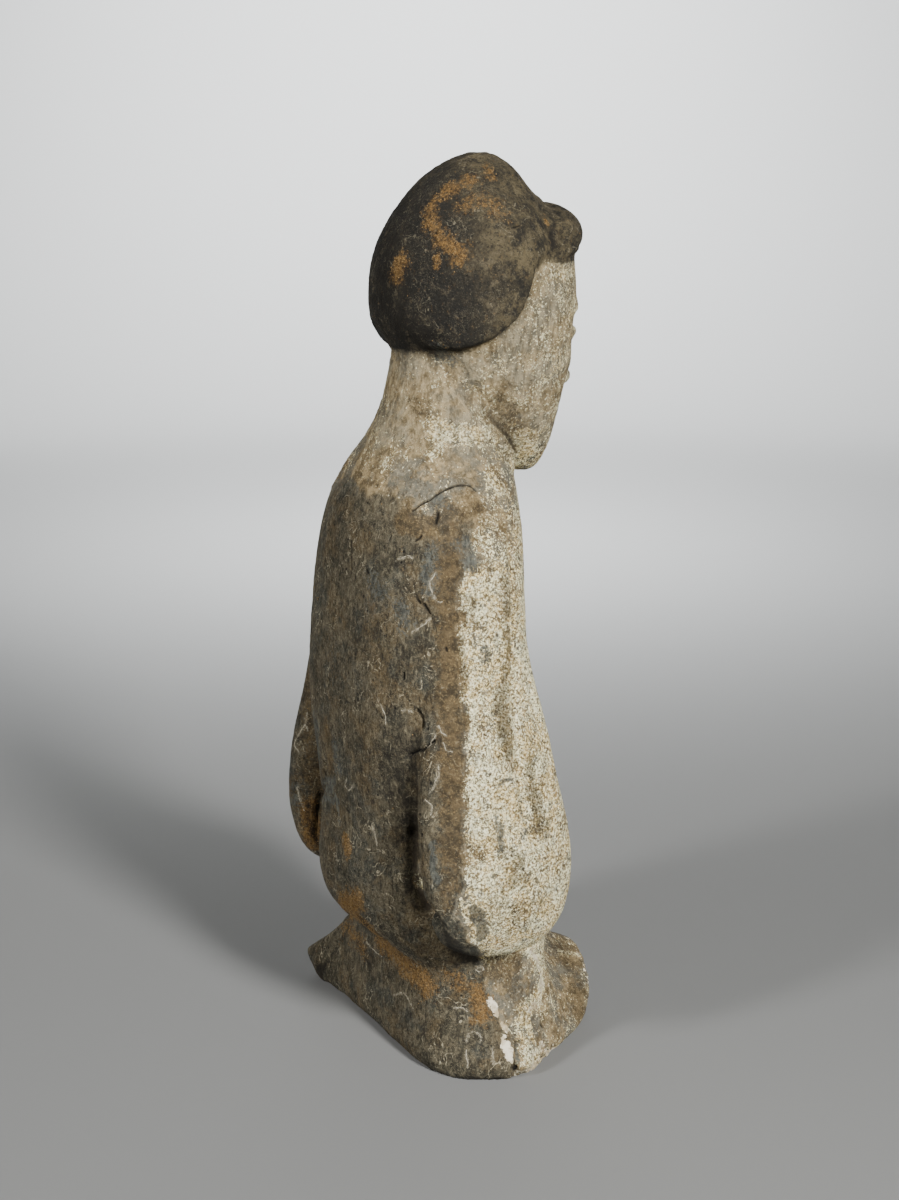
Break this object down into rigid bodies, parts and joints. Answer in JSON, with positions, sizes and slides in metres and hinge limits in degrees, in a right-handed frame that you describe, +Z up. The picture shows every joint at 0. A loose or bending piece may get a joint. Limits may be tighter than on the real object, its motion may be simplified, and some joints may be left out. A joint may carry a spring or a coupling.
{
  "type": "tomb figure",
  "caption": "Robed attendant of grey fired clay with joined, hanging sleeves, head bent forward, a smooth cap of hair and a flared hem to stand on",
  "frame": {"origin": "on the floor under the middle of the body, on the flat underside of the hem", "axes": "+Z up through the crown, -Y to the figure's front, +X to the figure's left hand"},
  "size_m": [0.1206, 0.0949, 0.3002],
  "materials": {
    "fired_clay": "matt grey clay with worn white slip, ochre earth and blackened hair"
  },
  "bodies": {
    "root": {"tomb_figure": "fired_clay"}
  },
  "joints": []
}
